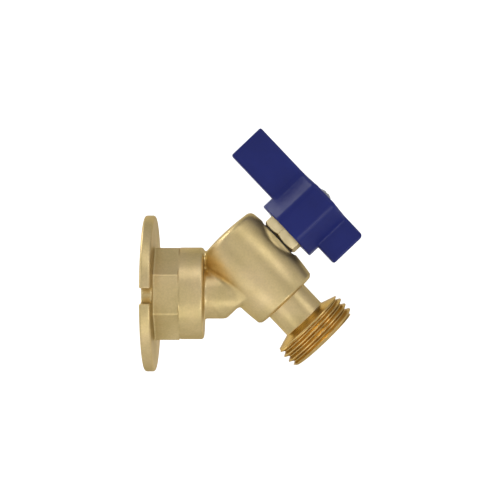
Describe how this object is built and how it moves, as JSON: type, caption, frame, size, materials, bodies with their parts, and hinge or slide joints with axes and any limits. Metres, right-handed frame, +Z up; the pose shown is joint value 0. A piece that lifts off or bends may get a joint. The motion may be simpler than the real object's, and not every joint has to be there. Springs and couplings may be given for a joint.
{
  "type": "hose bibb",
  "caption": "Quarter-turn hose bibb: brass elbow body with wall flange, pipe-thread socket, male hose thread outlet and a blue lever handle.",
  "frame": {"origin": "centre of the wall flange's back face, on the pipe socket's axis", "axes": "+X out of the wall along the pipe socket, +Z up, Y along the wall; the outlet points 46.5 degrees below +X"},
  "size_m": [0.0719, 0.0518, 0.0808],
  "materials": {
    "forged_brass": "satin, sand-blasted forging",
    "machined_brass": "machined",
    "blue_paint": "satin",
    "zinc_steel": "zinc plated",
    "chrome_ball": "polished",
    "ptfe": "waxy",
    "seal_rubber": "matte"
  },
  "bodies": {
    "valve": {"valve_body": "forged_brass", "outlet_adapter": "machined_brass", "adapter_o_ring": "seal_rubber", "rear_seat": "ptfe", "outlet_seat": "ptfe", "thrust_washer": "ptfe", "gland_nut": "machined_brass", "gland_gasket": "seal_rubber"},
    "spindle": {"stem": "machined_brass", "stem_o_ring_lower": "seal_rubber", "stem_o_ring_upper": "seal_rubber", "handle": "blue_paint", "handle_lock_washer": "zinc_steel", "handle_screw": "zinc_steel", "ball": "chrome_ball"}
  },
  "joints": [
    {"name": "handle_turn", "type": "hinge", "parent": "valve", "child": "spindle", "pos_m": [0.0355, 0, 0.0098], "axis": [0.7254, 0, 0.6884], "range_deg": [-90, 0]}
  ]
}
